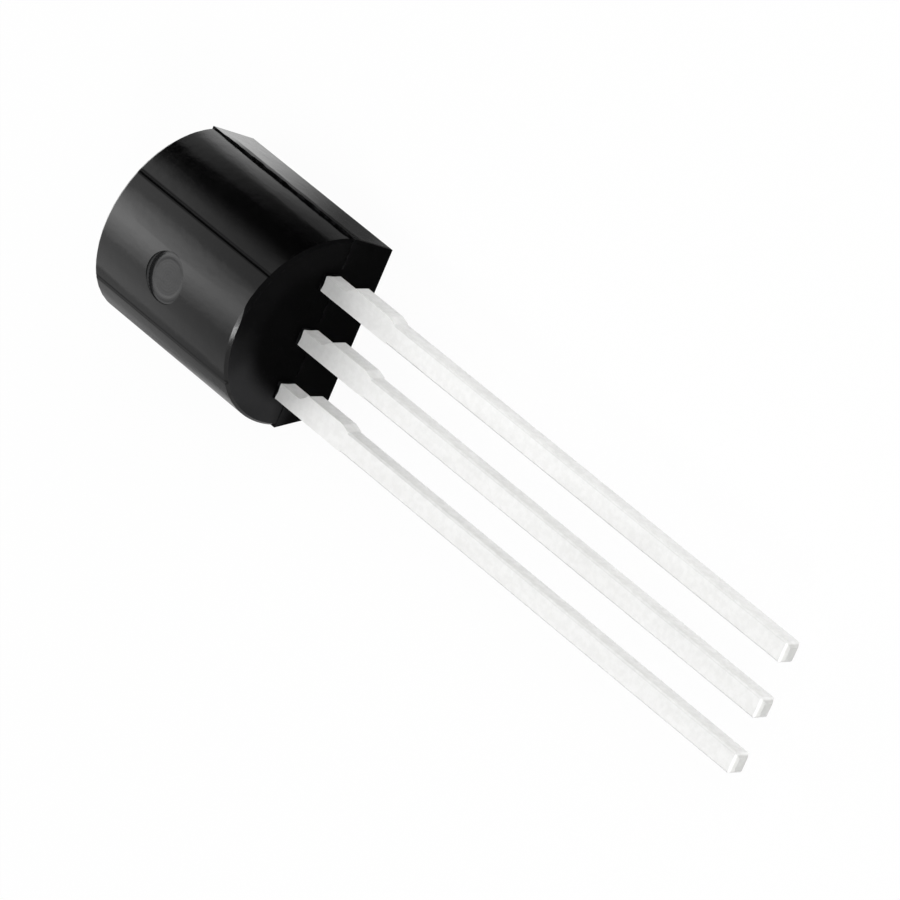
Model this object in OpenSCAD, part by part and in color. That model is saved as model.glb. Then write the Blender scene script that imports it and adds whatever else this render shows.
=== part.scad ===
// Small-signal thyristor in a three-lead moulded plastic package.
// The part lies on its flat front face: Z = 0 is the flat, +Z is the rounded
// back, X runs across the leads and the leads point along -Y.
// The origin is the middle of the flat. Looking at the flat with the leads
// down, the leads are cathode, gate and anode from left to right.

/* [Body] */
// Widest width of the moulded body, at the parting plane
body_width = 4.4; // [4.2:0.05:5.2]
// Height of the moulded body along the leads, at the parting plane
body_height = 4.65; // [4.4:0.05:5.4]
// Width of the flat front face
flat_width = 3.94; // [3.4:0.02:4.1]
// Depth from the flat front face to the parting plane
front_depth = 1.35; // [1.1:0.05:1.6]
// Width of the flatter crown between the two creases of the back
crown_width = 2.5; // [1.8:0.1:3]
// How much larger the radius of the crown is than that of the round sides
crown_ease = 0.06; // [0.02:0.02:1.2]
// Width of the fine groove that the mould insert leaves along each crease
groove_width = 0.07; // [0.04:0.01:0.12]
// Depth of that groove
groove_depth = 0.03; // [0.02:0.005:0.05]
// Mould draft of the end faces in front of the parting plane, in degrees
front_draft = 1; // [0.5:0.5:6]
// Mould draft of the end faces behind the parting plane, in degrees
back_draft = 3.5; // [1:0.5:6]
// Step at the parting line, where the front half stands proud of the back half
parting_step = 0.03; // [0.01:0.01:0.06]
// Broken edge round the outside of the body
edge_break = 0.06; // [0.03:0.01:0.12]

/* [Ejector mark] */
// Diameter of the ejector pin mark on the back
ejector_diameter = 1.1; // [0.8:0.05:1.2]
// Depth of the mark below the top of the crown
ejector_depth = 0.12; // [0.1:0.01:0.18]
// Distance from the top end of the body to the centre of the mark
ejector_from_top = 2.22; // [1:0.02:3]
// Offset of the mark from the middle of the crown
ejector_offset = -0.1; // [-0.2:0.02:0.2]

/* [Leads] */
// Distance from one lead to the next
lead_pitch = 1.27; // [1.2:0.01:1.35]
// Length of each lead outside the body
lead_length = 14.3; // [6:0.1:20]
// Width of a lead
lead_width = 0.47; // [0.4:0.01:0.55]
// Thickness of the lead frame strip
lead_thickness = 0.4; // [0.36:0.01:0.51]
// Width of a lead where it leaves the body
neck_width = 0.35; // [0.3:0.01:0.46]
// Length of the narrow neck outside the body
neck_length = 0.65; // [0.4:0.05:1]
// How far the cut dambar stub stands out beside the lead
stub_out = 0.06; // [0.04:0.01:0.14]
// Length of the stub along the lead
stub_length = 1.5; // [0.8:0.1:1.8]
// Slope at each end of the stub, along the lead
stub_slope = 0.2; // [0.1:0.05:0.3]
// Broken long edges of a lead
lead_edge = 0.04; // [0.02:0.01:0.06]
// Blunt taper at the cut tip of a lead
tip_taper = 0.09; // [0.04:0.01:0.14]

/* [Lead frame inside the body] */
// Plastic between the side of the die flag and the side of the body
side_cover = 0.6; // [0.45:0.05:0.8]
// Plastic between the top of the lead frame and the top end of the body
top_cover = 0.7; // [0.5:0.05:1]
// Width of the die flag
flag_width = 2.1; // [1.8:0.05:2.3]
// Height of the die flag
flag_height = 1.65; // [1.4:0.05:1.8]
// Gap between the flag and the bond posts
post_gap = 0.3; // [0.2:0.02:0.4]
// Width of the gate post
gate_post_width = 0.8; // [0.6:0.05:0.9]
// Length of the slim stretch of each lead below its post
inner_neck = 0.55; // [0.4:0.05:0.8]
// Depth of the mould lock notches
lock_notch = 0.14; // [0.08:0.02:0.18]

/* [Chip] */
// Side of the square silicon chip
die_side = 1.05; // [0.8:0.05:1.2]
// Thickness of the chip
die_thickness = 0.24; // [0.18:0.01:0.3]
// Thickness of the solder under the chip
solder_thickness = 0.03; // [0.02:0.005:0.05]
// Solder fillet that shows round the chip
solder_margin = 0.05; // [0.02:0.01:0.08]

/* [Bond wires] */
// Diameter of the gate wire
gate_wire = 0.05; // [0.03:0.005:0.08]
// Diameter of the cathode wire
cathode_wire = 0.12; // [0.08:0.01:0.16]
// Height of a wire loop over the chip
loop_height = 0.34; // [0.28:0.02:0.45]
// Radius of the bends of a wire
loop_radius = 0.2; // [0.16:0.01:0.24]
// Inset of a wire bond from the edge of its pad
bond_inset = 0.2; // [0.15:0.01:0.25]
// Width of a squashed wire bond, in wire diameters
bond_spread = 1.8; // [1.4:0.1:2.2]
// Height of a squashed wire bond
bond_height = 0.03; // [0.02:0.005:0.04]

/* [Hidden] */
$fn = 64;

// Body
back_radius = body_width / 2;
half_crown = crown_width / 2;
crown_radius = back_radius + crown_ease;
crease_z = front_depth + sqrt(back_radius * back_radius - half_crown * half_crown);
crown_centre_z = crease_z - sqrt(crown_radius * crown_radius - half_crown * half_crown);
crown_top_z = crown_centre_z + crown_radius;
body_top_y = body_height / 2;
body_bottom_y = -body_height / 2;
front_run = tan(front_draft);
back_run = tan(back_draft);
over = 1;

// Leads: the strip lies on the parting plane, on the side of the back
lead_bottom_z = front_depth;
lead_mid_z = front_depth + lead_thickness / 2;
lead_left = -lead_width / 2;
neck_right = lead_left + neck_width;
stub_right = lead_width / 2 + stub_out;
stub_start_y = body_bottom_y - neck_length;
stub_end_y = stub_start_y - stub_length;
shaft_top_y = stub_end_y + stub_slope;
tip_y = body_bottom_y - lead_length;
anode_x = -lead_pitch;
gate_x = 0;
cathode_x = lead_pitch;

// Flag and posts
flag_left = -back_radius + side_cover;
flag_right = flag_left + flag_width;
flag_top = body_top_y - top_cover;
flag_bottom = flag_top - flag_height;
post_bottom = body_bottom_y + inner_neck;
gate_post_top = flag_bottom - post_gap;
cathode_post_left = post_gap + max(flag_right, gate_x + gate_post_width / 2);
cathode_post_right = back_radius - side_cover;
cathode_post_top = flag_bottom + flag_height / 2;

// Chip, on the flat side of the flag
die_x = (flag_left + flag_right) / 2;
die_y = (flag_bottom + flag_top) / 2;
solder_side = die_side + 2 * solder_margin;
die_back_z = lead_bottom_z - solder_thickness;
die_face_z = die_back_z - die_thickness;
loop_z = die_face_z - loop_height;

// Where the wires land
gate_pad = [die_x + die_side / 2 - bond_inset, die_y - die_side / 2 + bond_inset];
gate_land = [gate_x, gate_post_top - bond_inset];
cathode_pad = [die_x + die_side / 2 - bond_inset, die_y + die_side / 2 - bond_inset];
cathode_land = [(cathode_post_left + cathode_post_right) / 2, cathode_post_top - bond_inset];

plastic = [0.09, 0.09, 0.095];
tin = [0.86, 0.87, 0.88];
solder = [0.62, 0.63, 0.65];
silicon = [0.36, 0.38, 0.44];
gold = [0.86, 0.68, 0.28];
aluminium = [0.8, 0.81, 0.83];

// A straight bar along Y whose section in X and Z is the outline given
module along_y(y_from, y_to) {
  translate([0, y_to, 0])
    rotate([90, 0, 0])
      linear_extrude(height = y_to - y_from)
        children();
}

// The drafted side view in Y and Z, as long as the body at the parting plane
module side_view() {
  front_in = front_run * front_depth;
  back_in = back_run * (crown_top_z - front_depth);
  top = body_top_y;
  translate([-body_width, 0, 0])
    rotate([90, 0, 90])
      linear_extrude(height = 2 * body_width)
        polygon([
          [-top + front_in + edge_break, 0],
          [top - front_in - edge_break, 0],
          [top - front_in, edge_break],
          [top, front_depth],
          [top - back_in, crown_top_z],
          [-top + back_in, crown_top_z],
          [-top, front_depth],
          [-top + front_in, edge_break]
        ]);
}

// A cone that breaks one end edge of a round of the radius given, about an
// axis at height z, square to the drafted end face; side is 1 at the top end
// and -1 at the end where the leads come out
module end_cone(side, radius, z) {
  reach = body_height + over;
  small = radius - edge_break;
  translate([0, side * (body_top_y - back_run * (z - front_depth)), z])
    rotate([side * (90 + back_draft), 0, 0])
      cylinder(r1 = small, r2 = small + reach, h = reach);
}

// A round along the body about an axis at height z, with its end edges broken
module broken_round(radius, z) {
  intersection() {
    translate([0, body_top_y + over, z])
      rotate([90, 0, 0])
        cylinder(r = radius, h = body_height + 2 * over);
    end_cone(1, radius, z);
    end_cone(-1, radius, z);
  }
}

// Half of the body behind the parting plane: round sides and a flatter crown
module back_half() {
  intersection() {
    broken_round(back_radius, front_depth);
    broken_round(crown_radius, crown_centre_z);
    translate([-body_width, -body_height, front_depth])
      cube([2 * body_width, 2 * body_height, crown_top_z]);
    side_view();
  }
}

// Half of the body in front of the parting plane, which ends in the flat
module front_half() {
  wide = back_radius + parting_step;
  narrow = flat_width / 2;
  intersection() {
    along_y(-body_height, body_height)
      polygon([
        [-narrow + edge_break, 0],
        [narrow - edge_break, 0],
        [narrow, edge_break],
        [wide, front_depth],
        [-wide, front_depth],
        [-narrow, edge_break]
      ]);
    side_view();
  }
}

// The fine groove of the mould insert along one crease; side is 1 at +X and -1
// at -X
module insert_groove(side) {
  lean = asin(half_crown / back_radius);
  translate([side * half_crown, 0, crease_z])
    rotate([0, side * lean, 0])
      along_y(-body_height, body_height)
        polygon([
          [-groove_width, groove_depth], [groove_width, groove_depth], [0, -groove_depth]
        ]);
}

module body_outside() {
  difference() {
    union() {
      back_half();
      front_half();
    }
    insert_groove(1);
    insert_groove(-1);
    translate([ejector_offset, body_top_y - ejector_from_top, crown_top_z - ejector_depth])
      cylinder(d = ejector_diameter, h = ejector_depth + over);
  }
}

module moulded_body() {
  color(plastic)
    difference() {
      body_outside();
      anode_solid();
      gate_solid();
      cathode_solid();
      solder_solid();
      die_solid();
      gate_wire_solid();
      cathode_wire_solid();
    }
}

// The long plain part of a lead, whose top end lies inside its stub, with x
// measured from the lead's middle
module shaft() {
  half = lead_width / 2;
  thick = lead_thickness / 2;
  intersection() {
    translate([0, 0, lead_mid_z])
      along_y(tip_y - over, shaft_top_y)
        polygon([
          [-half + lead_edge, -thick], [half - lead_edge, -thick],
          [half, -thick + lead_edge], [half, thick - lead_edge],
          [half - lead_edge, thick], [-half + lead_edge, thick],
          [-half, thick - lead_edge], [-half, -thick + lead_edge]
        ]);
    translate([0, 0, lead_bottom_z])
      linear_extrude(height = lead_thickness)
        polygon([
          [-half, body_bottom_y], [-half, tip_y + tip_taper], [-half + tip_taper, tip_y],
          [half - tip_taper, tip_y], [half, tip_y + tip_taper], [half, body_bottom_y]
        ]);
    translate([-lead_width, 0, lead_mid_z])
      rotate([90, 0, 90])
        linear_extrude(height = 2 * lead_width)
          polygon([
            [body_bottom_y, -thick], [tip_y + tip_taper, -thick],
            [tip_y, -thick + tip_taper], [tip_y, thick - tip_taper],
            [tip_y + tip_taper, thick], [body_bottom_y, thick]
          ]);
  }
}

// The outline of a lead outside the body down to its shaft: the end of the
// stub, its cut side and the foot of the neck, with the lead's middle at x
function root_points(x) = [
  [x + lead_left, stub_end_y],
  [x - lead_left, stub_end_y],
  [x + stub_right, stub_end_y + stub_slope],
  [x + stub_right, stub_start_y - stub_slope],
  [x + neck_right, stub_start_y]
];

// A flat piece cut from the lead frame strip, with the outline given
module strip(points) {
  translate([0, 0, lead_bottom_z])
    linear_extrude(height = lead_thickness)
      polygon(points);
}

module anode_solid() {
  notch_y = (flag_bottom + flag_top) / 2;
  union() {
    translate([anode_x, 0, 0]) shaft();
    strip(concat(root_points(anode_x), [
      [anode_x + neck_right, flag_bottom],
      [flag_right, flag_bottom],
      [flag_right, flag_top],
      [die_x + 2 * lock_notch, flag_top],
      [die_x + lock_notch, flag_top - lock_notch],
      [die_x - lock_notch, flag_top - lock_notch],
      [die_x - 2 * lock_notch, flag_top],
      [flag_left, flag_top],
      [flag_left, notch_y + 2 * lock_notch],
      [flag_left + lock_notch, notch_y + lock_notch],
      [flag_left + lock_notch, notch_y - lock_notch],
      [flag_left, notch_y - 2 * lock_notch],
      [flag_left, post_bottom],
      [anode_x + lead_left, post_bottom]
    ]));
  }
}

module gate_solid() {
  half_post = gate_post_width / 2;
  union() {
    translate([gate_x, 0, 0]) shaft();
    strip(concat(root_points(gate_x), [
      [gate_x + neck_right, post_bottom],
      [gate_x + half_post, post_bottom + lock_notch],
      [gate_x + half_post, gate_post_top],
      [gate_x - half_post, gate_post_top],
      [gate_x - half_post, post_bottom + lock_notch],
      [gate_x + lead_left, post_bottom]
    ]));
  }
}

module cathode_solid() {
  notch_y = (post_bottom + cathode_post_top) / 2;
  union() {
    translate([cathode_x, 0, 0]) shaft();
    strip(concat(root_points(cathode_x), [
      [cathode_x + neck_right, post_bottom],
      [cathode_post_right, post_bottom],
      [cathode_post_right, notch_y - 2 * lock_notch],
      [cathode_post_right - lock_notch, notch_y - lock_notch],
      [cathode_post_right - lock_notch, notch_y + lock_notch],
      [cathode_post_right, notch_y + 2 * lock_notch],
      [cathode_post_right, cathode_post_top],
      [cathode_post_left, cathode_post_top],
      [cathode_post_left, post_bottom + lock_notch],
      [cathode_x + lead_left, post_bottom]
    ]));
  }
}

module solder_solid() {
  translate([die_x - solder_side / 2, die_y - solder_side / 2, die_back_z])
    cube([solder_side, solder_side, solder_thickness]);
}

module die_solid() {
  translate([die_x - die_side / 2, die_y - die_side / 2, die_face_z])
    cube([die_side, die_side, die_thickness]);
}

// A bond wire from a pad on the chip to a post, as [x, y] places, with a
// straight rise, a level run and a straight fall between two round bends, and
// a squashed bond at each end
module wire(pad, land, thick) {
  run = norm(land - pad);
  turn = atan2(land[1] - pad[1], land[0] - pad[0]);
  r = loop_radius;
  bend_z = loop_z + r;
  translate([pad[0], pad[1], 0])
    rotate([0, 0, turn])
      union() {
        translate([0, 0, bend_z])
          cylinder(d = thick, h = die_face_z - bend_z);
        translate([run, 0, bend_z])
          cylinder(d = thick, h = lead_bottom_z - bend_z);
        translate([0, 0, die_face_z - bond_height])
          cylinder(d = bond_spread * thick, h = bond_height);
        translate([run, 0, lead_bottom_z - bond_height])
          cylinder(d = bond_spread * thick, h = bond_height);
        translate([r, 0, loop_z])
          rotate([0, 90, 0])
            cylinder(d = thick, h = run - 2 * r);
        translate([r, 0, bend_z])
          rotate([-90, 0, 0])
            rotate([0, 0, 90])
              rotate_extrude(angle = 90)
                translate([r, 0]) circle(d = thick);
        translate([run - r, 0, bend_z])
          rotate([-90, 0, 0])
            rotate_extrude(angle = 90)
              translate([r, 0]) circle(d = thick);
      }
}

module gate_wire_solid() {
  wire(gate_pad, gate_land, gate_wire);
}

module cathode_wire_solid() {
  wire(cathode_pad, cathode_land, cathode_wire);
}

module anode_lead() { color(tin) anode_solid(); }
module gate_lead() { color(tin) gate_solid(); }
module cathode_lead() { color(tin) cathode_solid(); }
module die_attach() { color(solder) solder_solid(); }
module silicon_die() { color(silicon) die_solid(); }
module gate_bond_wire() { color(gold) gate_wire_solid(); }
module cathode_bond_wire() { color(aluminium) cathode_wire_solid(); }

moulded_body();
anode_lead();
gate_lead();
cathode_lead();
die_attach();
silicon_die();
gate_bond_wire();
cathode_bond_wire();
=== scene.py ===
"""Finishes a small moulded three-lead thyristor, and lights it on a white table.

The frame is the part's own: the flat front lies on the table at Z = 0, the
rounded back faces +Z and the leads point along -Y. Lengths are in metres.
"""

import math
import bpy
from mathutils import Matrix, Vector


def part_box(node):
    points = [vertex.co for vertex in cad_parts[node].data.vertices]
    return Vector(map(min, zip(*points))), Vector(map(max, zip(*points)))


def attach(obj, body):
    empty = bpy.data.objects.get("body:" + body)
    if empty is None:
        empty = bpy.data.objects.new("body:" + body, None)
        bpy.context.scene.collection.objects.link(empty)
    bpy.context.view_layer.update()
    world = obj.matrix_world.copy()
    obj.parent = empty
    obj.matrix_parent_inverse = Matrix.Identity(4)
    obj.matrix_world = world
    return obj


bl_info = {
    "name": "Small Thyristor",
    "version": (1, 0, 0),
    "blender": (4, 5, 0),
    "location": "View3D > Sidebar > Thyristor",
    "description": "Plastic, tin and mould flash of a small three-lead thyristor",
    "category": "Object",
}

import bpy
from bpy.props import FloatProperty, FloatVectorProperty, IntProperty, PointerProperty
from mathutils import Matrix, Vector, noise

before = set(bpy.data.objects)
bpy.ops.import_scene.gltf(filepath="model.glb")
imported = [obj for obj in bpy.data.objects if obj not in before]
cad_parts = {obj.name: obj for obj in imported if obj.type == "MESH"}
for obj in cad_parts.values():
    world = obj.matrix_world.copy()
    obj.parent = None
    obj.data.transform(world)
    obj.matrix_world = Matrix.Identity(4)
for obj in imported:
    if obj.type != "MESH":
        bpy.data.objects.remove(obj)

BODY = "root"
LEADS = ("anode_lead", "gate_lead", "cathode_lead")
MM = 0.001

# What the frame says about the part
BODY_LOW, BODY_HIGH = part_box("moulded_body")
LEAD_BOXES = {name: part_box(name) for name in LEADS}
PARTING_Z = LEAD_BOXES["gate_lead"][0].z
LEAD_TOP_Z = LEAD_BOXES["gate_lead"][1].z
LEAD_ROOT_Y = BODY_LOW.y
CROWN_Z = BODY_HIGH.z

# The leads: their middles, half a lead's width, and the sides of the neck at
# the root, measured from the lead's middle
LEAD_MIDDLES = (-1.27 * MM, 0.0, 1.27 * MM)
LEAD_HALF_WIDTH = 0.24 * MM
NECK_SIDES = (-0.235 * MM, 0.115 * MM)
# How deep the root of a resin flash sits in the body
FLASH_SEAT = 0.03 * MM
# The parting flash starts this far from the top end and from the lead end, and
# grows to its full reach over the same length again
TOP_GAP = 0.4 * MM
ROOT_GAP = 0.12 * MM
FLASH_RUN = 0.25 * MM

# Torn resin: how many fine and broad waves it has to a millimetre, how much each
# adds to its middle reach, and the least reach, all as shares of the full reach
FINE_TEARS, FINE_SHARE = 6.0, 0.45
BROAD_TEARS, BROAD_SHARE = 1.7, 0.5
TORN_MIDDLE, TORN_LEAST = 0.6, 0.3
# Points of a mesh that are closer than this are one
MERGE_DISTANCE = 1e-7

# The middle of the part along Y, in millimetres, and how far from there the
# table's shading starts to fade and is gone
SHADE_MIDDLE_Y = -7.0
SHADE_FADE = (14.0, 40.0)
# Light on the part: what the lamps are aimed at, and how far from it they hang
LAMP_AIM = Vector((0.0, -0.004, 0.001))
LAMP_DISTANCE = 0.2
# The key lamp: the direction it hangs in, its full size, and how many lamps
# stack up to its full width
KEY_TOWARDS = (-0.09, 0.7, 0.7)
KEY_WIDTH = 0.16
KEY_HEIGHT = 0.15
KEY_STEPS = 4
# The other lamps: the direction, how far behind LAMP_DISTANCE, the width and
# the height, the setting for its light and its share of that, and whether
# mirror rays see it
LAMPS = (
    ("glint_lamp", (-0.4, -0.65, 0.65), 0.0, 0.035, 0.035, "glint", 0.9, True),
    ("edge_lamp", (-0.2, -0.7, 0.69), 0.002, 0.07, 0.03, "glint", 0.6, True),
    ("fill_lamp", (0.6, -0.5, 0.62), 0.0, 0.15, 0.15, "fill", 1.0, False),
)
# Dark cards on the table: the middle, the turn of the width from +X, the width
# and the height, in millimetres and degrees, how bright they look, and at which
# slope up from the crown they start to pale and are white
CARDS = (
    ("right_card", (13.6, 9.4), 52.9, 33.0, 20.0, 0.0, (0.1, 0.7)),
    ("left_card", (-5.8, 3.6), 54.5, 10.0, 4.2, 0.45, (8.0, 9.0)),
)
# That slope is the height over CARD_FOOT for each millimetre of way from the
# crown to the card, and the way is a sum of shares of X and Y and a rest
CARD_FOOT = 3.0
CARD_WAY = (0.485, 0.642, 3.5)


# ---------------------------------------------------------------- materials


class Wire:
    """The output of a shader node, which can be reckoned with like a number."""

    def __init__(self, finish, socket):
        self.finish = finish
        self.socket = socket

    def _math(self, operation, *values, clamp=False):
        return self.finish.node(
            "ShaderNodeMath",
            {"operation": operation, "use_clamp": clamp},
            dict(enumerate(values)),
        )

    def __add__(self, other):
        return self._math("ADD", self, other)

    __radd__ = __add__

    def __sub__(self, other):
        return self._math("SUBTRACT", self, other)

    def __rsub__(self, other):
        return self._math("SUBTRACT", other, self)

    def __mul__(self, other):
        return self._math("MULTIPLY", self, other)

    __rmul__ = __mul__

    def __truediv__(self, other):
        return self._math("DIVIDE", self, other)

    def __pow__(self, other):
        return self._math("POWER", self, other)

    def __abs__(self):
        return self._math("ABSOLUTE", self)

    def sine(self):
        """The sine of the value, in radians."""
        return self._math("SINE", self)

    def least(self, other):
        """The smaller of the two."""
        return self._math("MINIMUM", self, other)

    def most(self, other):
        """The greater of the two."""
        return self._math("MAXIMUM", self, other)

    def clamped(self):
        """The value kept from 0 to 1."""
        return self._math("ADD", self, 0.0, clamp=True)

    def rise(self, low, high):
        """0 below low, 1 above high and a smooth step between them."""
        return self.finish.node(
            "ShaderNodeMapRange",
            {"interpolation_type": "SMOOTHSTEP"},
            {"Value": self, "From Min": low, "From Max": high},
        )

    def fall(self, low, high):
        """1 below low, 0 above high and a smooth step between them."""
        return 1 - self.rise(low, high)

    def near(self, middle, reach):
        """1 at the middle value, and 0 further from it than the reach."""
        return abs(self - middle).fall(0.0, reach)


class Finish:
    """A material made of shader nodes on the piece's own coordinates.

    Places are in millimetres, and the two numbers of a rise or a fall are the
    ends of its smooth step.
    """

    def __init__(self, name, tree=None):
        self.material = None
        if tree is None:
            self.material = bpy.data.materials.new(name)
            self.material.use_nodes = True
            tree = self.material.node_tree
        self.tree = tree
        self.tree.nodes.clear()

    def node(self, kind, settings=None, sockets=None, output=0):
        """Adds a node: its settings first, then what its sockets hold or take."""
        made = self.tree.nodes.new(kind)
        for name, value in (settings or {}).items():
            setattr(made, name, value)
        for key, value in (sockets or {}).items():
            if isinstance(value, Wire):
                self.tree.links.new(value.socket, made.inputs[key])
            else:
                made.inputs[key].default_value = value
        return Wire(self, made.outputs[output]) if made.outputs else None

    def point(self):
        """The place on the piece, in millimetres."""
        metres = self.node("ShaderNodeTexCoord", output="Object")
        return self.node(
            "ShaderNodeVectorMath", {"operation": "SCALE"}, {0: metres, "Scale": 1 / MM}
        )

    def parts(self, point):
        """The X, Y and Z of a point."""
        split = self.node("ShaderNodeSeparateXYZ", sockets={0: point})
        return [Wire(self, out) for out in split.socket.node.outputs]

    def join(self, x, y, z):
        """The point with these parts."""
        return self.node("ShaderNodeCombineXYZ", sockets={0: x, 1: y, 2: z})

    def rays(self, *kinds):
        """1 for a ray of one of these kinds, named as on the Light Path node."""
        outs = self.node("ShaderNodeLightPath").socket.node.outputs
        total = Wire(self, outs[kinds[0]])
        for kind in kinds[1:]:
            total = total + Wire(self, outs[kind])
        return total

    def glow(self, strength):
        """A surface that shines white with this strength."""
        return self.node("ShaderNodeEmission", sockets={"Strength": strength})

    def mix(self, share, a, b):
        """A shader that goes from a to b as the share goes from 0 to 1."""
        return self.node("ShaderNodeMixShader", sockets={0: share, 1: a, 2: b})

    def noise(self, point, per_mm, detail=3.0, rough=0.55, twist=0.0):
        """A cloudy value from 0 to 1, with so many patches to a millimetre."""
        return self.node(
            "ShaderNodeTexNoise",
            {"noise_dimensions": "3D"},
            {
                "Vector": point,
                "Scale": per_mm,
                "Detail": detail,
                "Roughness": rough,
                "Distortion": twist,
            },
        )

    def blend(self, share, a, b):
        """A colour that goes from a to b as the share goes from 0 to 1."""
        sockets = {0: share, 6: a, 7: b}
        for key in (6, 7):
            if not isinstance(sockets[key], Wire):
                sockets[key] = (*sockets[key], 1.0)
        return self.node(
            "ShaderNodeMix", {"data_type": "RGBA"}, sockets, output=2
        )

    def relief(self, height, depth_mm, normal=None):
        """A normal that follows the height, whose full range is depth_mm deep."""
        sockets = {"Height": height, "Distance": depth_mm * MM, "Strength": 1.0}
        if normal is not None:
            sockets["Normal"] = normal
        return self.node("ShaderNodeBump", sockets=sockets)

    def surface(self, **sockets):
        """One Principled surface; names such as base_color become Base Color."""
        named = {
            "IOR" if key == "ior" else key.replace("_", " ").title(): value
            for key, value in sockets.items()
        }
        return self.node("ShaderNodeBsdfPrincipled", sockets=named)

    def end(self, shader, kind="ShaderNodeOutputMaterial"):
        """Links the shader to the output, and gives the finished material."""
        self.node(kind, sockets={"Surface": shader})
        return self.material


def dress(piece, material):
    """Gives a piece one material all over."""
    piece.data.materials.clear()
    piece.data.materials.append(material)
    for polygon in piece.data.polygons:
        polygon.material_index = 0


def moulding_compound(look):
    """Black filled epoxy: a satin skin with a fine mould grain, and dull ends."""
    f = Finish("moulding_compound")
    point = f.point()
    x, y, z = f.parts(point)
    top, parting, crown = BODY_HIGH.y / MM, PARTING_Z / MM, CROWN_Z / MM
    mark_x, mark_y = (part / MM for part in look.mark_place)
    crease_x, crease_z = (part / MM for part in look.crease_place)

    # Where the surface is: the two drafted ends, the crown and the ejector mark
    behind = (z - parting).most(0.0) * math.tan(look.back_draft)
    in_front = (parting - z).most(0.0) * math.tan(look.front_draft)
    edge = abs(y) + behind + in_front
    end_face = (top - 0.012, top - 0.004)
    ends = edge.rise(*end_face)
    # The dull lead end takes in its broken edge, but for the -X side
    dulled = (edge + x.rise(0.1, 0.7) * 0.07).rise(*end_face)
    lead_end = dulled * y.fall(-0.5, 0.5)
    to_axis = (x * x + (z - parting) ** 2) ** 0.5
    crown_area = z.rise(crown - 0.45, crown - 0.25)
    to_mark = ((x - mark_x) ** 2 + (y - mark_y) ** 2) ** 0.5
    mark = to_mark.fall(0.545, 0.56) * crown_area
    mark_ring = to_mark.near(0.44, 0.08)
    mark_foot = mark * z.fall(crown - 0.13, crown - 0.03)
    parting_band = z.near(parting, 0.05)
    trimmed = z.near(parting, 0.5)
    to_crease = ((abs(x) - crease_x) ** 2 + (z - crease_z) ** 2) ** 0.5
    groove = to_crease.fall(0.05, 0.09)

    # The grain of the mould, and the slower drift of the resin along the body
    per_mm = look.grain_per_mm
    grain = f.noise(point, per_mm, detail=5.0, rough=0.62)
    pits = f.noise(point, per_mm * 2.6, detail=2.0, rough=0.5).rise(0.56, 0.72)
    along = f.join(x * 1.5, y * 0.5, z * 1.5)
    drift = f.noise(along, 0.9, detail=3.0, rough=0.6, twist=0.6)
    streaks = f.noise(f.join(x * 9.0, y * 0.7, z * 9.0), 1.0, detail=3.0, rough=0.55)
    rings = (to_mark * look.rings_per_mm).sine() * 0.5 + 0.5
    swell = f.noise(point, 2.6, detail=2.0, rough=0.5)
    trim = f.noise(f.join(x * 9.0, y * 2.0, z * 9.0), 1.0, detail=2.0, rough=0.6)

    # The colour goes grey in a crescent along the round edge of the lead end, most on
    # the -X side, and in the ejector mark and fine specks
    clouds = f.noise(point, 0.9, detail=1.0, rough=0.5).rise(0.2, 0.7) * 0.4 + 0.6
    crescent = to_axis.rise(1.3, 1.8) * (x.fall(-1.3, 0.2) + 0.1) * z.rise(0.9, 1.7)
    crescent = crescent * 0.85
    filler = f.noise(point, 16.0, detail=1.0, rough=0.4).rise(0.64, 0.74)
    grey_share = lead_end * crescent * clouds + mark * 0.5 + filler * 0.08
    colour = f.blend(grey_share.clamped(), look.colour, look.grey_colour)

    roughness = (
        look.roughness
        + (drift - 0.5) * 0.14
        + (streaks - 0.5) * 0.08
        + ends * 0.25
        + mark * 0.1
        + parting_band * 0.1
        + (grain - 0.5) * 0.08
    ).clamped()

    # In the ejector mark the grain gives way to the rings of the turned pin
    height = grain * 0.55 + (1 - pits) * 0.45
    height = height * (1 - mark * 0.75) + mark * rings * 0.35
    normal = f.relief(height, look.grain_depth / MM)
    normal = f.relief(drift, look.drift_depth / MM, normal)
    normal = f.relief(swell, look.swell_depth / MM, normal)
    normal = f.relief(trim * trimmed, look.trim_depth / MM, normal)
    normal = f.relief(mark_ring, look.ring_height / MM, normal)
    normal = f.relief(mark_foot, look.foot_height / MM, normal)

    skin = f.surface(
        base_color=colour, roughness=roughness, normal=normal, ior=look.skin_ior
    )
    dull = f.surface(
        base_color=colour,
        roughness=(roughness + 0.12).clamped(),
        normal=normal,
        ior=look.dull_ior,
    )
    # The skin loses some gloss towards the leads. The lead end, the two grooves
    # and the worn seam in front of the parting line's +X side have little
    fading = y.fall(-top, top) * look.fade_share
    seam = (z + (trim - 0.5) * 0.15).rise(parting - 0.33, parting - 0.25)
    seam = seam * z.fall(parting, parting + 0.02) * y.fall(1.3, 2.1) * x.rise(0.0, 1.0)
    share = fading.most(lead_end * look.dull_share).most(groove * look.groove_share)
    share = share.most(seam * look.seam_share)
    return f.end(f.mix(share, skin, dull))


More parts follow.
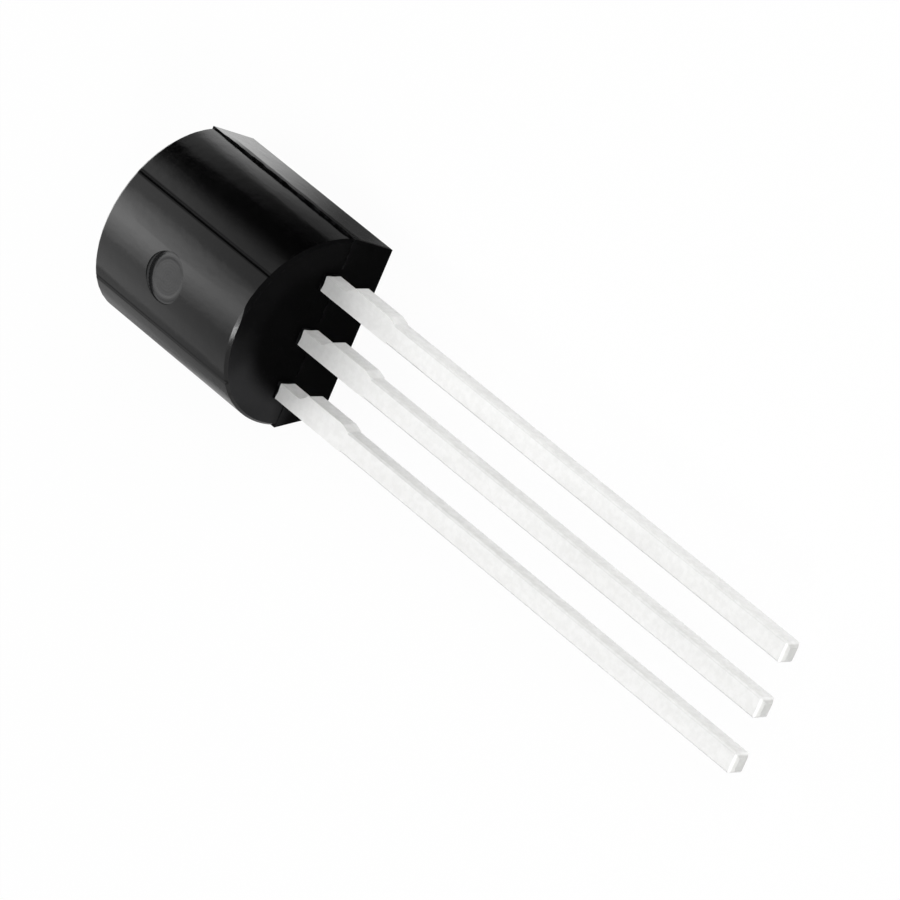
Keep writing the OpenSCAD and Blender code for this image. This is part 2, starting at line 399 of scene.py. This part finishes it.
def tinned_lead(look):
    """Matt tin over the stamped strip: plating grain, draw lines, and sides painted
    paler as painted light.
    """
    f = Finish("tinned_lead")
    point = f.point()
    x, y, z = f.parts(point)
    root, low, high = LEAD_ROOT_Y / MM, PARTING_Z / MM, LEAD_TOP_Z / MM
    tip = LEAD_BOXES["gate_lead"][0].y / MM

    plating = f.noise(point, look.grain_per_mm, detail=4.0, rough=0.6)
    drawn = f.join(x * 2.0, y * 0.35, z * 2.0)
    cloud = f.noise(drawn, 1.0, detail=3.0, rough=0.6, twist=0.3)
    lines = f.noise(f.join(x * 60.0, y * 0.6, z * 60.0), 1.0, detail=2.0, rough=0.5)
    shear = f.noise(f.join(x * 2.0, y * 34.0, z * 3.0), 1.0, detail=3.0, rough=0.6)
    torn = f.noise(f.join(x * 30.0, y * 3.0, z * 6.0), 1.0, detail=3.0, rough=0.6)
    mottled = f.noise(point, 7.0, detail=2.0, rough=0.6).rise(0.35, 0.65)

    # The sheared sides lie between the strip's two faces; the tips are cut last
    sides = z.rise(low + 0.03, low + 0.07) * z.fall(high - 0.07, high - 0.03)
    # Painted light: everything between the two faces, the sides and most of the broken
    # rims, gets a paler tin, where less lamp light falls on them
    edges = z.rise(low + 0.004, low + 0.012) * z.fall(high - 0.012, high - 0.004)
    cut_tip = y.fall(tip + 0.03, tip + 0.07)
    # Near the root the lead is duller and slightly darker: partly resin staining,
    # partly painted shade where the body shades the lead
    stain_and_shade = (root - y).fall(0.1, look.stain_and_shade_reach / MM) * (0.35 + 0.65 * cloud)

    greyed = cloud.rise(0.3, 0.75) * 0.2 + mottled * 0.2 + stain_and_shade * 0.05 + cut_tip * 0.8
    clean = f.blend(edges, look.colour, look.painted_side_light)
    colour = f.blend(greyed.clamped(), clean, look.dull_colour)
    roughness = (
        look.roughness
        + (plating - 0.5) * 0.14
        + (cloud - 0.5) * 0.12
        + sides * 0.06
        + stain_and_shade * 0.1
    ).clamped()
    height = plating * 0.5 + lines * (1 - sides) * 0.3
    height = height + shear * sides * 0.6 + torn * cut_tip
    normal = f.relief(height, look.grain_depth / MM)
    shader = f.surface(
        base_color=colour, metallic=look.metallic, roughness=roughness, normal=normal
    )
    return f.end(shader)


def resin_flash(look):
    """Thin torn resin at the parting line and round the leads, without a skin."""
    f = Finish("resin_flash")
    point = f.point()
    grain = f.noise(point, 30.0, detail=3.0, rough=0.6)
    torn = f.noise(point, 6.0, detail=3.0, rough=0.6).rise(0.4, 0.7)
    shader = f.surface(
        base_color=f.blend(torn * 0.5, look.colour, look.grey_colour),
        roughness=(0.6 + (grain - 0.5) * 0.2).clamped(),
        normal=f.relief(grain, depth_mm=0.006),
        ior=look.dull_ior,
    )
    return f.end(shader)


def solder_finish(look):
    """Dull die solder with its frosty grains."""
    f = Finish("solder")
    frost = f.noise(f.point(), 24.0, detail=4.0, rough=0.65)
    shader = f.surface(
        base_color=f.blend(frost, look.solder_colour, look.frost_colour),
        metallic=1.0,
        roughness=0.35 + frost * 0.2,
        normal=f.relief(frost, depth_mm=0.004),
    )
    return f.end(shader)


def silicon_finish(look):
    """Polished silicon with a paler metal border round its face."""
    f = Finish("silicon")
    point = f.point()
    x, y = f.parts(point)[:2]
    low, high = (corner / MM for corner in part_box("silicon_die"))
    to_edge = (x - low.x).least(high.x - x).least((y - low.y).least(high.y - y))
    border = to_edge.fall(0.07, 0.09) * to_edge.rise(0.02, 0.03)
    haze = f.noise(point, 9.0, detail=2.0, rough=0.5)
    shader = f.surface(
        base_color=f.blend(border * 0.8, look.silicon_colour, look.aluminium_colour),
        metallic=0.4 + border * 0.5,
        roughness=0.12 + haze * 0.08,
        normal=f.relief(haze, depth_mm=0.001),
    )
    return f.end(shader)


def wire_finish(name, colour, dull_colour):
    """Drawn bond wire with faint die lines."""
    f = Finish(name)
    grain = f.noise(f.point(), 40.0, detail=3.0, rough=0.6)
    shader = f.surface(
        base_color=f.blend(grain.rise(0.4, 0.7) * 0.5, colour, dull_colour),
        metallic=1.0,
        roughness=0.2 + grain * 0.15,
        normal=f.relief(grain, depth_mm=0.0015),
    )
    return f.end(shader)


# ------------------------------------------------------------------ settings


def colour_property(name, description, default):
    """A colour of red, green and blue shares."""
    return FloatVectorProperty(
        name=name,
        description=description,
        default=default,
        min=0.0,
        max=1.0,
        subtype="COLOR",
    )


def length_property(name, description, default_mm):
    """A length, whose default is given in millimetres."""
    return FloatProperty(
        name=name,
        description=description,
        default=default_mm * MM,
        min=0.0,
        unit="LENGTH",
        precision=6,
    )


def place_property(name, description, default_mm):
    """Two coordinates, whose defaults are given in millimetres."""
    return FloatVectorProperty(
        name=name,
        description=description,
        default=[part * MM for part in default_mm],
        size=2,
        unit="LENGTH",
    )


def share_property(name, description, default):
    """A share or a strength, where 1 is full."""
    return FloatProperty(
        name=name, description=description, default=default, min=0.0, soft_max=1.0
    )


def number_property(name, description, default):
    """A plain number that is 1 or more."""
    return FloatProperty(name=name, description=description, default=default, min=1.0)


def angle_property(name, description, degrees):
    """An angle, whose default is given in degrees."""
    return FloatProperty(
        name=name,
        description=description,
        default=math.radians(degrees),
        subtype="ANGLE",
    )


class PlasticLook(bpy.types.PropertyGroup):
    """Finish of the moulded body"""

    colour: colour_property(
        "Plastic", "Black of the moulding compound", (0.0012, 0.0012, 0.0013)
    )
    # Grey for the crescent at the lead end, the ejector mark, fine specks and torn
    # flash
    grey_colour: colour_property(
        "Filler", "Grey of the filler where the skin is thin", (0.028, 0.028, 0.029)
    )
    roughness: share_property("Roughness", "Roughness of the moulded skin", 0.15)
    skin_ior: number_property(
        "Skin index", "Refractive index of the satin skin", 1.48
    )
    dull_ior: number_property(
        "Dull index", "Refractive index of the dull lead end", 1.06
    )
    dull_share: share_property(
        "Dull end", "How dull the end with the leads is", 0.99
    )
    fade_share: share_property(
        "Fading", "How much gloss the skin loses by the lead end", 0.42
    )
    grain_per_mm: number_property(
        "Grain", "Grains of the mould to a millimetre", 15.0
    )
    grain_depth: length_property("Grain depth", "Depth of the mould's grain", 0.001)
    drift_depth: length_property("Waviness", "Slow unevenness of the skin", 0.006)
    swell_depth: length_property("Mottling", "Fine unevenness of the skin", 0.005)
    trim_depth: length_property(
        "Trim marks", "Depth of the marks beside the parting line", 0.006
    )
    rings_per_mm: number_property(
        "Mark's turning", "Turning rings in the ejector mark, in radians to 1 mm", 95.0
    )
    ring_height: length_property(
        "Mark's ring", "Height of the ring in the ejector mark", 0.005
    )
    foot_height: length_property(
        "Mark's foot", "How far the mark's wall swells to its foot", 0.055
    )
    front_draft: angle_property(
        "Front draft", "Lean of the end faces before the parting", 1.0
    )
    back_draft: angle_property(
        "Back draft", "Lean of the end faces behind the parting", 3.5
    )
    groove_share: share_property(
        "Dull grooves", "How dull the two fine grooves are", 0.7
    )
    seam_share: share_property(
        "Dull seam", "How dull the seam by the parting line is", 0.93
    )
    crease_place: place_property(
        "Groove", "Middle of the groove on the +X side, along X and Z", (1.25, 3.16)
    )
    mark_place: place_property(
        "Ejector mark", "Middle of the ejector mark, along X and Y", (-0.1, 0.105)
    )


class TinLook(bpy.types.PropertyGroup):
    """Finish of the leads"""

    colour: colour_property("Tin", "Clean tin plating", (0.825, 0.825, 0.818))
    # Paler tin on the sides: painted light where less lamp light falls on them
    painted_side_light: colour_property(
        "Side tin", "Tin on the sides and edges", (0.93, 0.93, 0.922)
    )
    dull_colour: colour_property(
        "Dull tin", "Tin that has dulled or stained", (0.64, 0.64, 0.625)
    )
    metallic: share_property(
        "Metal", "Share of the mirror-like part of the matt tin", 0.35
    )
    roughness: share_property("Roughness", "Roughness of the plating", 0.5)
    grain_per_mm: number_property(
        "Grain", "Grains of the plating to a millimetre", 28.0
    )
    grain_depth: length_property("Grain depth", "Depth of the plating's grain", 0.003)
    # Reach along a lead of the resin staining and painted shade at its root
    stain_and_shade_reach: length_property(
        "Stain", "How far the resin stain runs along a lead", 2.2
    )


class InnerLook(bpy.types.PropertyGroup):
    """Finish of the chip and wires"""

    solder_colour: colour_property("Solder", "Die solder", (0.62, 0.63, 0.65))
    frost_colour: colour_property(
        "Solder's frost", "Frosty grains of the solder", (0.46, 0.46, 0.48)
    )
    silicon_colour: colour_property("Silicon", "Polished silicon", (0.32, 0.34, 0.4))
    gold_colour: colour_property("Gold", "Gate bond wire", (0.86, 0.68, 0.28))
    dull_gold_colour: colour_property(
        "Dull gold", "Die lines of the gate bond wire", (0.7, 0.5, 0.2)
    )
    aluminium_colour: colour_property(
        "Aluminium", "Cathode bond wire", (0.8, 0.81, 0.83)
    )
    dull_aluminium_colour: colour_property(
        "Dull aluminium", "Die lines of the cathode bond wire", (0.66, 0.67, 0.7)
    )


class FlashSizes(bpy.types.PropertyGroup):
    """Resin flash"""

    parting_reach: length_property(
        "Parting flash", "How far it stands out of the sides", 0.034
    )
    parting_depth: length_property(
        "Parting thickness", "Thickness of the flash", 0.016
    )
    parting_cuts: IntProperty(
        name="Steps",
        description="Steps of its torn edge along each side",
        default=70,
        min=8,
    )
    collar_reach: length_property(
        "Lead flash", "How far resin creeps along a lead", 0.07
    )
    collar_wall: length_property(
        "Lead flash wall", "Thickness of that resin", 0.014
    )
    collar_cuts: IntProperty(
        name="Collar steps",
        description="Steps of a collar's rim along a side",
        default=7,
        min=3,
    )
    seed: IntProperty(
        name="Seed", description="Draw of the torn edges", default=7, min=0
    )


class StageLook(bpy.types.PropertyGroup):
    """Camera, table and lamps"""

    azimuth: angle_property("Azimuth", "Turn of the camera round the part", 31.86)
    elevation: angle_property(
        "Elevation", "Height of the camera above the table", 47.11
    )
    roll: angle_property("Roll", "Turn of the camera about its own axis", -90.96)
    eye: FloatVectorProperty(
        name="Camera place",
        description="Where the camera stands",
        default=(59.238 * MM, -102.217 * MM, 122.337 * MM),
        subtype="TRANSLATION",
        unit="LENGTH",
    )
    lens: FloatProperty(
        name="Lens",
        description="Focal length on a 36 mm sensor",
        default=328.94,
        unit="CAMERA",
    )
    table_colour: colour_property("Table", "Colour of the table", (1.0, 1.0, 1.0))
    clear_share: share_property(
        "Clear table", "How far the table's shading is held back", 0.95
    )
    # Glow of the painted reflection that mirror rays see on the table, brighter than
    # white
    painted_reflection_glow: share_property(
        "Mirrored table", "Brightness of the table to mirror rays", 1.25
    )
    sky: share_property("Sky", "Strength of the light from all round", 0.3)
    key: share_property("Key lamp", "Light on the table from the key lamp", 0.2)
    fill: share_property("Fill lamp", "Light on the table from the fill lamp", 0.35)
    glint: share_property(
        "Glint lamps", "Light on the table that the small lamps take shares of", 0.1
    )


# ------------------------------------------------------------------ building


def start_clean():
    """Object mode with nothing selected."""
    if bpy.context.object and bpy.context.object.mode != "OBJECT":
        bpy.ops.object.mode_set(mode="OBJECT")
    bpy.ops.object.select_all(action="DESELECT")


def pick(piece, wanted):
    """Selects in edit mode the points of the piece for which wanted(point) holds."""
    bpy.ops.object.mode_set(mode="EDIT")
    bpy.ops.mesh.select_all(action="DESELECT")
    bpy.ops.mesh.select_mode(type="VERT")
    bpy.ops.object.mode_set(mode="OBJECT")
    for vertex in piece.data.vertices:
        vertex.select = wanted(vertex.co)
    bpy.ops.object.mode_set(mode="EDIT")


def choose(piece):
    """Object mode with only this piece selected and active."""
    start_clean()
    piece.select_set(True)
    bpy.context.view_layer.objects.active = piece


def settle(piece, name, material):
    """Puts the piece's place into its mesh, and gives it name, body and finish."""
    choose(piece)
    bpy.ops.object.transform_apply(location=True, rotation=True, scale=True)
    bpy.ops.object.mode_set(mode="EDIT")
    bpy.ops.mesh.select_all(action="SELECT")
    bpy.ops.mesh.remove_doubles(threshold=MERGE_DISTANCE)
    bpy.ops.mesh.normals_make_consistent(inside=False)
    bpy.ops.object.mode_set(mode="OBJECT")
    piece.name = piece.data.name = name
    dress(piece, material)
    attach(piece, BODY)


def ring_of(width, height, wall, cuts, centre):
    """A flat rectangular ring in X and Y, its outer sides width and height long."""
    start_clean()
    bpy.ops.mesh.primitive_plane_add(size=1.0, location=centre)
    ring = bpy.context.object
    ring.scale = (width, height, 1.0)
    bpy.ops.object.transform_apply(location=True, rotation=True, scale=True)
    bpy.ops.object.mode_set(mode="EDIT")
    bpy.ops.mesh.select_all(action="SELECT")
    bpy.ops.mesh.subdivide(number_cuts=cuts)
    bpy.ops.mesh.inset(thickness=wall, use_boundary=True)
    bpy.ops.mesh.delete(type="FACE")
    bpy.ops.object.mode_set(mode="OBJECT")
    return ring


def thicken(sheet, thickness, offset):
    """Puts the sheet's place into its mesh and gives it a wall."""
    choose(sheet)
    bpy.ops.object.transform_apply(location=True, rotation=True, scale=True)
    wall = sheet.modifiers.new("wall", "SOLIDIFY")
    wall.thickness = thickness
    wall.offset = offset
    bpy.ops.object.modifier_apply(modifier=wall.name)


def ragged(place, seed):
    """The share of its full reach that torn resin has at a place."""
    fine = noise.noise(place / MM * FINE_TEARS + Vector((seed, 0.0, 0.0)))
    broad = noise.noise(place / MM * BROAD_TEARS + Vector((0.0, seed, 0.0)))
    share = TORN_MIDDLE + FINE_SHARE * fine + BROAD_SHARE * broad
    return min(max(share, TORN_LEAST), 1.0)


class THYRISTOR_OT_body(bpy.types.Operator):
    """Give the moulded body its black satin compound"""

    bl_idname = "thyristor.body"
    bl_label = "Moulded body"

    def execute(self, context):
        plastic = moulding_compound(context.scene.plastic_look)
        dress(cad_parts["moulded_body"], plastic)
        return {"FINISHED"}


class THYRISTOR_OT_leads(bpy.types.Operator):
    """Give the three leads their tin plating"""

    bl_idname = "thyristor.leads"
    bl_label = "Leads"

    def execute(self, context):
        tin = tinned_lead(context.scene.tin_look)
        for name in LEADS:
            dress(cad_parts[name], tin)
        return {"FINISHED"}


class THYRISTOR_OT_inner(bpy.types.Operator):
    """Give the chip, its solder and the bond wires their finishes"""

    bl_idname = "thyristor.inner"
    bl_label = "Chip and wires"

    def execute(self, context):
        look = context.scene.inner_look
        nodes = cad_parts
        dress(nodes["die_attach"], solder_finish(look))
        dress(nodes["silicon_die"], silicon_finish(look))
        dress(
            nodes["gate_bond_wire"],
            wire_finish("gold_wire", look.gold_colour, look.dull_gold_colour),
        )
        dress(
            nodes["cathode_bond_wire"],
            wire_finish(
                "aluminium_wire", look.aluminium_colour, look.dull_aluminium_colour
            ),
        )
        return {"FINISHED"}


class THYRISTOR_OT_parting_flash(bpy.types.Operator):
    """Model the torn fin of resin that runs round the parting line"""

    bl_idname = "thyristor.parting_flash"
    bl_label = "Parting flash"

    def execute(self, context):
        sizes = context.scene.flash_sizes
        half_x = (BODY_HIGH.x - BODY_LOW.x) / 2
        half_y = (BODY_HIGH.y - BODY_LOW.y) / 2
        reach = sizes.parting_reach
        fin = ring_of(
            2 * (half_x + reach),
            2 * (half_y + reach),
            reach + FLASH_SEAT,
            sizes.parting_cuts,
            Vector((0.0, 0.0, PARTING_Z)),
        )
        for vertex in fin.data.vertices:
            place = vertex.co
            to_corner = abs(half_x - abs(place.x)) + abs(half_y - abs(place.y))
            gap = TOP_GAP if place.y > 0.0 else ROOT_GAP
            fade = min(max((to_corner - gap) / FLASH_RUN, 0.0), 1.0)
            torn = reach * fade * ragged(place, sizes.seed)
            if abs(place.x) > half_x:
                place.x = math.copysign(half_x + torn, place.x)
            if abs(place.y) > half_y:
                place.y = math.copysign(half_y + torn, place.y)
            # No fin crosses a lead: it ends inside the body there
            beside = min(abs(place.x - middle) for middle in LEAD_MIDDLES)
            if place.y < -half_y and beside < LEAD_HALF_WIDTH:
                place.y = -half_y + FLASH_SEAT / 2
        thicken(fin, sizes.parting_depth, 0.0)
        finish = resin_flash(context.scene.plastic_look)
        settle(fin, "parting_flash", finish)
        return {"FINISHED"}


class THYRISTOR_OT_lead_flash(bpy.types.Operator):
    """Model the thin resin collars round the roots of the three leads"""

    bl_idname = "thyristor.lead_flash"
    bl_label = "Lead flash"

    def execute(self, context):
        sizes = context.scene.flash_sizes
        left, right = NECK_SIDES
        wall, reach = sizes.collar_wall, sizes.collar_reach
        middle = Vector((left + right, 0.0, PARTING_Z + LEAD_TOP_Z)) / 2
        middle.y = LEAD_ROOT_Y + FLASH_SEAT
        collar = ring_of(
            right - left + 2 * wall,
            LEAD_TOP_Z - PARTING_Z + 2 * wall,
            wall,
            sizes.collar_cuts,
            Vector(),
        )
        collar.rotation_euler.x = math.pi / 2
        collar.location = middle
        thicken(collar, reach + FLASH_SEAT, 1.0)
        rim = LEAD_ROOT_Y - reach / 2
        half_x, half_z = (right - left) / 2, (LEAD_TOP_Z - PARTING_Z) / 2

        def on_outer_rim(place):
            across = abs(place.x - middle.x) > half_x + wall / 2
            above = abs(place.z - middle.z) > half_z + wall / 2
            return place.y < rim and (across or above)

        # The rim thins out to a quarter of the wall, and is torn
        pick(collar, on_outer_rim)
        thin_x = (half_x + wall / 4) / (half_x + wall)
        thin_z = (half_z + wall / 4) / (half_z + wall)
        bpy.ops.transform.resize(value=(thin_x, 1.0, thin_z), center_override=middle)
        bpy.ops.object.mode_set(mode="OBJECT")
        for vertex in collar.data.vertices:
            if vertex.co.y < rim:
                vertex.co.y = LEAD_ROOT_Y - reach * ragged(vertex.co, sizes.seed)
        finish = resin_flash(context.scene.plastic_look)
        for name, lead_middle in zip(LEADS, LEAD_MIDDLES):
            choose(collar)
            bpy.ops.object.duplicate()
            copy = context.object
            copy.location.x = lead_middle
            settle(copy, name + "_flash", finish)
        bpy.data.objects.remove(collar)
        return {"FINISHED"}


class THYRISTOR_OT_stage(bpy.types.Operator):
    """Set up the camera, the white table, the lamps and the dark cards"""

    bl_idname = "thyristor.stage"
    bl_label = "Stage"

    def execute(self, context):
        look = context.scene.stage_look
        place_camera(context, look)
        lay_table(look)
        light_sky(context, look)
        hang_lamps(context, look)
        stand_cards()
        context.scene.view_settings.view_transform = "Standard"
        return {"FINISHED"}


def place_camera(context, look):
    """A long lens above the table, turned so that the leads run down the frame."""
    data = bpy.data.cameras.new("camera")
    data.sensor_width = 36.0
    data.lens = look.lens
    data.clip_start = 0.01
    data.clip_end = 10.0
    camera = bpy.data.objects.new("camera", data)
    context.scene.collection.objects.link(camera)
    turn = (
        Matrix.Rotation(look.azimuth, 4, "Z")
        @ Matrix.Rotation(math.pi / 2 - look.elevation, 4, "X")
        @ Matrix.Rotation(look.roll, 4, "Z")
    )
    camera.matrix_world = Matrix.Translation(look.eye) @ turn
    context.scene.camera = camera


def lay_table(look):
    """A white table, whose shading stays near the part and fades further out."""
    start_clean()
    bpy.ops.mesh.primitive_grid_add(
        x_subdivisions=8, y_subdivisions=8, size=2.0, location=(0.0, 0.0, 0.0)
    )
    table = bpy.context.object
    table.name = "table"
    f = Finish("table_white")
    x, y = f.parts(f.point())[:2]
    along = y - SHADE_MIDDLE_Y
    far = ((x * x + along * along) ** 0.5).rise(*SHADE_FADE)
    camera = f.rays("Is Camera Ray")
    mirrored = f.rays("Is Glossy Ray", "Is Transmission Ray")
    clear = camera * (look.clear_share + (1 - look.clear_share) * far)
    paper = f.node(
        "ShaderNodeBsdfDiffuse", sockets={"Color": (*look.table_colour, 1.0)}
    )
    seen = f.mix(clear.clamped(), paper, f.glow(1.0))
    # To mirror rays the table shows a painted reflection: bright close beside
    # the top end of the body, darkening from there towards the leads and the right
    # card, and painted shade on the body's other side
    beside = x.rise(1.6, 2.0) * x.fall(3.9, 5.0) * y.rise(-2.6, -1.4)
    beyond = 0.95 - (y - x * 0.77).rise(-3.3, 3.2) * 0.6
    beyond = beyond * x.rise(3.8, 5.0) * y.rise(-3.0, -1.0)
    behind = x.fall(-2.6, -2.2) * y.rise(0.5, 3.6) * 0.6
    least = 0.12 + 0.22 * x.rise(2.4, 3.4)
    level = least + (1 - least) * (y - 0.45 * (x - 1.5)).rise(-1.2, 2.6)
    level = level * beside * (1 - beyond)
    painted_table_reflection = f.mix(level, f.glow(0.0), f.glow(look.painted_reflection_glow))
    share = beside.most(beyond).most(behind) * mirrored
    dress(table, f.end(f.mix(share, seen, painted_table_reflection)))


def light_sky(context, look):
    """Even light from all round; the camera and mirror rays see plain white."""
    world = bpy.data.worlds.new("sky")
    context.scene.world = world
    world.use_nodes = True
    f = Finish("sky", world.node_tree)
    seen = f.rays("Is Camera Ray", "Is Glossy Ray", "Is Transmission Ray").clamped()
    light, white = (
        f.node(
            "ShaderNodeBackground",
            sockets={"Color": (1.0, 1.0, 1.0, 1.0), "Strength": strength},
        )
        for strength in (look.sky, 1.0)
    )
    f.end(f.mix(seen, light, white), "ShaderNodeOutputWorld")


def hang_lamp(context, name, towards, distance, width, height, share):
    """A soft lamp aimed at the part, whose light on the table is the share given."""
    data = bpy.data.lights.new(name, "AREA")
    data.shape = "RECTANGLE"
    data.size = width
    data.size_y = height
    back = Vector(towards).normalized()
    # White paper that faces a lamp of P watts from a distance d shows P / (pi d)^2
    data.energy = math.pi**2 * distance**2 * share / back.z
    lamp = bpy.data.objects.new(name, data)
    context.scene.collection.objects.link(lamp)
    lamp.location = LAMP_AIM + back * distance
    lamp.rotation_euler = back.to_track_quat("Z", "Y").to_euler()
    return lamp


def hang_lamps(context, look):
    """A soft-edged key lamp beyond the top end, and lamps over the leads."""
    # The key lamp is a stack of widths, one behind another, for its soft edges
    for step in range(1, KEY_STEPS + 1):
        hang_lamp(
            context,
            f"key_lamp_{step}",
            KEY_TOWARDS,
            LAMP_DISTANCE + step * MM,
            KEY_WIDTH * step / KEY_STEPS,
            KEY_HEIGHT,
            look.key * 2 * step / (KEY_STEPS * (KEY_STEPS + 1)),
        )
    for name, towards, further, width, height, setting, part, mirrored in LAMPS:
        share = getattr(look, setting) * part
        distance = LAMP_DISTANCE + further
        lamp = hang_lamp(context, name, towards, distance, width, height, share)
        lamp.visible_glossy = mirrored


def stand_cards():
    """Dark cards that only mirror rays see, to draw the shape of black plastic."""
    for name, centre, heading, width, height, level, (pale_from, white_from) in CARDS:
        f = Finish(name)
        x, y, z = f.parts(f.point())
        way_x, way_y, way_rest = CARD_WAY
        slope = (z - CARD_FOOT) / (x * way_x + y * way_y + way_rest)
        shade = f.mix(slope.rise(pale_from, white_from), f.glow(level), f.glow(1.0))
        start_clean()
        bpy.ops.mesh.primitive_plane_add(size=1.0, location=(0.0, 0.0, 0.0))
        card = bpy.context.object
        card.name = name
        card.matrix_world = (
            Matrix.Translation((centre[0] * MM, centre[1] * MM, height / 2 * MM))
            @ Matrix.Rotation(math.radians(heading), 4, "Z")
            @ Matrix.Rotation(math.pi / 2, 4, "X")
            @ Matrix.Diagonal((width * MM, height * MM, 1.0, 1.0))
        )
        bpy.ops.object.transform_apply(location=True, rotation=True, scale=True)
        for ray in ("camera", "diffuse", "transmission", "volume_scatter", "shadow"):
            setattr(card, "visible_" + ray, False)
        dress(card, f.end(shade))


class THYRISTOR_PT_panel(bpy.types.Panel):
    """Sizes, finishes and the pieces of the thyristor"""

    bl_label = "Thyristor"
    bl_idname = "THYRISTOR_PT_panel"
    bl_space_type = "VIEW_3D"
    bl_region_type = "UI"
    bl_category = "Thyristor"

    def draw(self, context):
        layout = self.layout
        for group_name, group in GROUPS.items():
            box = layout.box()
            box.label(text=group.__doc__)
            settings = getattr(context.scene, group_name)
            for name in group.__annotations__:
                box.prop(settings, name)
        for operator in OPERATORS:
            layout.operator(operator.bl_idname)


GROUPS = {
    "plastic_look": PlasticLook,
    "tin_look": TinLook,
    "inner_look": InnerLook,
    "flash_sizes": FlashSizes,
    "stage_look": StageLook,
}
OPERATORS = (
    THYRISTOR_OT_stage,
    THYRISTOR_OT_body,
    THYRISTOR_OT_leads,
    THYRISTOR_OT_inner,
    THYRISTOR_OT_parting_flash,
    THYRISTOR_OT_lead_flash,
)
CLASSES = (*GROUPS.values(), *OPERATORS, THYRISTOR_PT_panel)


def register():
    """Registers the classes, and puts the settings on the scene."""
    for made in CLASSES:
        bpy.utils.register_class(made)
    for name, group in GROUPS.items():
        setattr(bpy.types.Scene, name, PointerProperty(type=group))


def unregister():
    """Takes the settings and the classes away again."""
    for name in GROUPS:
        delattr(bpy.types.Scene, name)
    for made in reversed(CLASSES):
        bpy.utils.unregister_class(made)


def main():
    """Registers the classes and runs every operator."""
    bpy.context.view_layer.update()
    register()
    for operator in OPERATORS:
        group, name = operator.bl_idname.split(".")
        getattr(getattr(bpy.ops, group), name)()
    bpy.context.view_layer.update()


if __name__ == "__main__":
    main()
